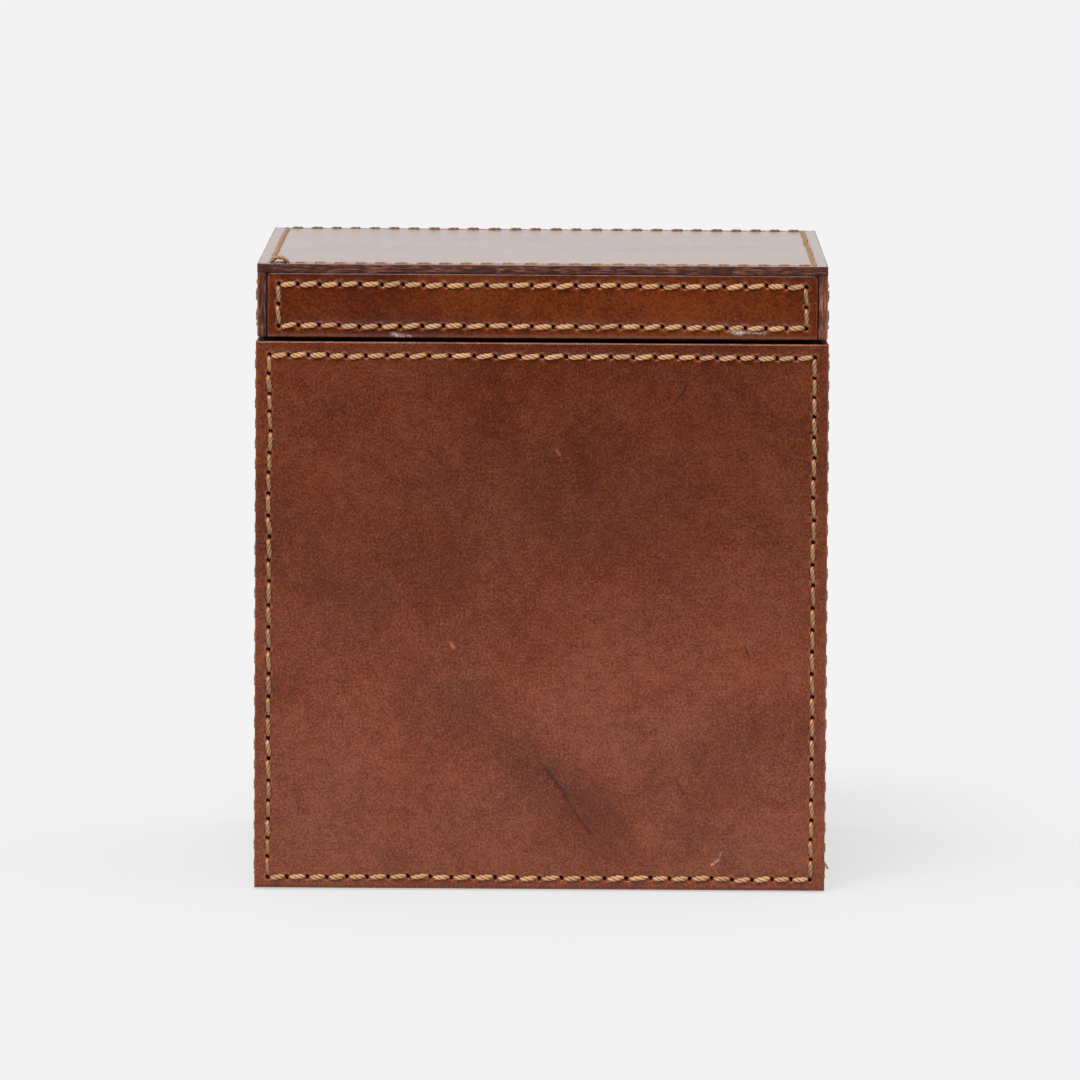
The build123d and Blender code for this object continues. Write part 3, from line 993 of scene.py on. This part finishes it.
def sewn_seam(panel, tree, stitch, finish, thread):
    """The stitches of one panel as a plain mesh."""
    path = bpy.data.objects.new("seam_path", panel.seam_path())
    bpy.context.scene.collection.objects.link(path)
    modifier = path.modifiers.new("stitches", "NODES")
    modifier.node_group = tree
    end = loose_end(panel.node.replace("leather", "stitching"), thread)
    values = {
        "Loose End": end, "Stitch": stitch, "Thread": finish, "Pitch": thread.pitch, "Slant": thread.slant,
        "Slant Play": thread.slant_play, "Girth Play": thread.girth_play, "Side Play": thread.side_play,
        "Sink": thread.top_sink * abs(panel.outward.z) + thread.side_sink * abs(panel.outward.x),
        "Seed": panel.seed,
    }
    for name, value in values.items():
        modifier[modifier_socket(tree, name)] = value
    sewn = path.evaluated_get(bpy.context.evaluated_depsgraph_get())
    mesh = bpy.data.meshes.new_from_object(sewn)
    mesh.name = panel.node.replace("leather", "thread")
    bpy.data.objects.remove(path)
    if end:
        bpy.data.objects.remove(end)
    return mesh


def cover_in_hide(part, body, dyes, coat, clouds, step):
    """Every panel of a body as a meshed piece of hide, with dyed grain and a cut edge."""
    hide = bpy.context.scene.canister_hide
    grain = grain_leather(f"{part}_grain", dyes, coat, clouds, step)
    edge = bpy.data.materials.get("cut_edge") or cut_leather("cut_edge", hide.edge_dark, hide.edge_light)
    for panel in panels_of(body):
        mesh = panel.mesh(hide, grain, edge)
        place_piece(panel.node.replace("leather", "hide"), mesh, panel.body, panel.node)


class CANISTER_OT_body_hide(Operator):
    """Covers the four sides of the body in leather"""

    bl_idname = "canister.body_hide"
    bl_label = "Body leather"

    def execute(self, context):
        hide = context.scene.canister_hide
        dyes = (hide.body_dark, hide.body_middle, hide.body_light)
        cover_in_hide("body", "box", dyes, hide.body_coat, hide.body_clouds, BODY_HEIGHT_STEP)
        return {"FINISHED"}


class CANISTER_OT_lid_hide(Operator):
    """Covers the top and the four edges of the lid in leather"""

    bl_idname = "canister.lid_hide"
    bl_label = "Lid leather"

    def execute(self, context):
        hide = context.scene.canister_hide
        dyes = (hide.lid_dark, hide.lid_middle, hide.lid_light)
        cover_in_hide("lid", "lid", dyes, hide.lid_coat, hide.lid_clouds, LID_TOP_LIGHT_STEP)
        return {"FINISHED"}


class CANISTER_OT_stitching(Operator):
    """Sews the saddle stitches round all nine panels"""

    bl_idname = "canister.stitching"
    bl_label = "Saddle stitching"

    def execute(self, context):
        thread = context.scene.canister_thread
        finish = waxed_thread("waxed_thread", thread.thread_light, thread.thread_dark, thread.plies)
        tree = seam_tree()
        stitch = laid_stitch(thread)
        for panel in panels_of("box") + panels_of("lid"):
            mesh = sewn_seam(panel, tree, stitch, finish, thread)
            place_piece(mesh.name, mesh, panel.body, panel.node.replace("leather", "stitching"))
        bpy.data.objects.remove(stitch)
        return {"FINISHED"}


class CANISTER_OT_boards(Operator):
    """Finishes the boards, the cedar liner and the felt"""

    bl_idname = "canister.boards"
    bl_label = "Boards, liner and felt"

    def execute(self, context):
        woods = {name: sawn_wood(name, *wood) for name, wood in WOODS.items()}
        felt = pressed_felt("pressed_felt", FELT)
        for name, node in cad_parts.items():
            if "leather" in name or "stitching" in name:
                continue
            if name == "base_felt":
                finish = felt
            elif "liner" in name:
                finish = woods["cedar_upright"]
            elif name in ("well_floor_board", "lid_lining_board"):
                finish = woods["cedar_level"]
            else:
                finish = woods["carcass_board"]
            node.data.materials.clear()
            node.data.materials.append(finish)
        return {"FINISHED"}


class CANISTER_OT_stage(Operator):
    """Sets up the floor, the lamps and the camera"""

    bl_idname = "canister.stage"
    bl_label = "Stage"

    def execute(self, context):
        stage = context.scene.canister_stage
        self.add_floor(context, stage)
        self.add_light(context, stage)
        self.add_camera(context, stage)
        context.scene.view_settings.view_transform = "Standard"
        return {"FINISHED"}

    def add_floor(self, context, stage):
        half, front = stage.floor_size / 2, stage.floor_front
        mesh = bpy.data.meshes.new("floor")
        corners = [(-half, -front, 0), (half, -front, 0), (half, half, 0), (-half, half, 0)]
        mesh.from_pydata(corners, [], [(0, 1, 2, 3)])
        material = bpy.data.materials.new("floor_paper")
        mesh.materials.append(material)
        bench = cleared_bench(material)
        rays = bench.add("ShaderNodeLightPath").outputs
        seen = bench.math("MAXIMUM", rays["Is Camera Ray"], rays["Is Glossy Ray"])
        seen = bench.math("MAXIMUM", seen, rays["Is Transmission Ray"])
        paper = bench.add("ShaderNodeBsdfDiffuse", {"Color": (*stage.floor_colour, 1)})
        glow = bench.add("ShaderNodeEmission", {"Color": (*stage.floor_glow, 1)})
        share = bench.math("MULTIPLY", seen, stage.floor_evenness)
        mixed = bench.add("ShaderNodeMixShader", {0: share, 1: paper.outputs[0], 2: glow.outputs[0]})
        bench.add("ShaderNodeOutputMaterial", {"Surface": mixed.outputs[0]})
        floor = bpy.data.objects.new("floor", mesh)
        context.scene.collection.objects.link(floor)

    def add_light(self, context, stage):
        world = bpy.data.worlds.new("soft_room")
        context.scene.world = world
        bench = cleared_bench(world)
        rays = bench.add("ShaderNodeLightPath").outputs
        seen = bench.math("MAXIMUM", rays["Is Transmission Ray"], rays["Is Glossy Ray"])
        heading = bench.add("ShaderNodeTexCoord").outputs["Generated"]
        way = bench.add("ShaderNodeSeparateXYZ", {"Vector": heading}).outputs
        behind = bench.remap(way["Y"], *SKY_SPAN, 0, 1)
        above = bench.remap(way["Z"], *OVERHEAD_SPAN, 0, 1)
        share = bench.math("MAXIMUM", behind, above)
        sky = bench.remap(share, 0, 1, stage.room_strength, stage.sky_strength)
        shine = bench.remap(way["Y"], *SHINE_SPAN, stage.room_shine, stage.surround[0])
        strength = sky
        for share, other in ((seen, shine), (rays["Is Camera Ray"], stage.surround[0])):
            mix = {"Factor": share, "A": strength, "B": other}
            strength = bench.add("ShaderNodeMix", mix, data_type="FLOAT").outputs[0]
        light = bench.add("ShaderNodeBackground", {"Color": (1, 1, 1, 1), "Strength": strength})
        bench.add("ShaderNodeOutputWorld", {"Surface": light.outputs[0]})
        key = bpy.data.lights.new("key", "SUN")
        key.energy = stage.key_strength
        key.angle = stage.key_spread
        lamp = bpy.data.objects.new("key", key)
        lamp.rotation_euler = (stage.key_tilt, 0, stage.key_turn)
        context.scene.collection.objects.link(lamp)

    def add_camera(self, context, stage):
        data = bpy.data.cameras.new("camera")
        data.sensor_width = 36
        data.lens = stage.lens
        data.clip_end = 2.5 * stage.floor_size
        camera = bpy.data.objects.new("camera", data)
        turn = Matrix.Rotation(stage.camera_turn, 4, "Z")
        tilt = Matrix.Rotation(math.pi / 2 + stage.camera_tilt, 4, "X")
        roll = Matrix.Rotation(stage.camera_roll, 4, "Z")
        camera.matrix_world = Matrix.Translation(stage.camera_place) @ turn @ tilt @ roll
        context.scene.collection.objects.link(camera)
        context.scene.camera = camera


class CANISTER_PT_looks(Panel):
    """Lists the steps that dress the canister"""

    bl_idname = "CANISTER_PT_looks"
    bl_label = "Canister looks"
    bl_space_type = "VIEW_3D"
    bl_region_type = "UI"
    bl_category = "Canister"

    def draw(self, context):
        for operator in OPERATORS:
            self.layout.operator(operator.bl_idname)


OPERATORS = (
    CANISTER_OT_stage,
    CANISTER_OT_boards,
    CANISTER_OT_body_hide,
    CANISTER_OT_lid_hide,
    CANISTER_OT_stitching,
)
SETTINGS = {
    "canister_hide": HideSettings,
    "canister_thread": ThreadSettings,
    "canister_stage": StageSettings,
}
CLASSES = (*SETTINGS.values(), *OPERATORS, CANISTER_PT_looks)


def register():
    for kind in CLASSES:
        bpy.utils.register_class(kind)
    for name, group in SETTINGS.items():
        setattr(bpy.types.Scene, name, PointerProperty(type=group))


def unregister():
    for name in SETTINGS:
        delattr(bpy.types.Scene, name)
    for kind in reversed(CLASSES):
        bpy.utils.unregister_class(kind)


def main():
    register()
    bpy.ops.canister.stage()
    bpy.ops.canister.boards()
    bpy.ops.canister.body_hide()
    bpy.ops.canister.lid_hide()
    bpy.ops.canister.stitching()


if __name__ == "__main__":
    main()
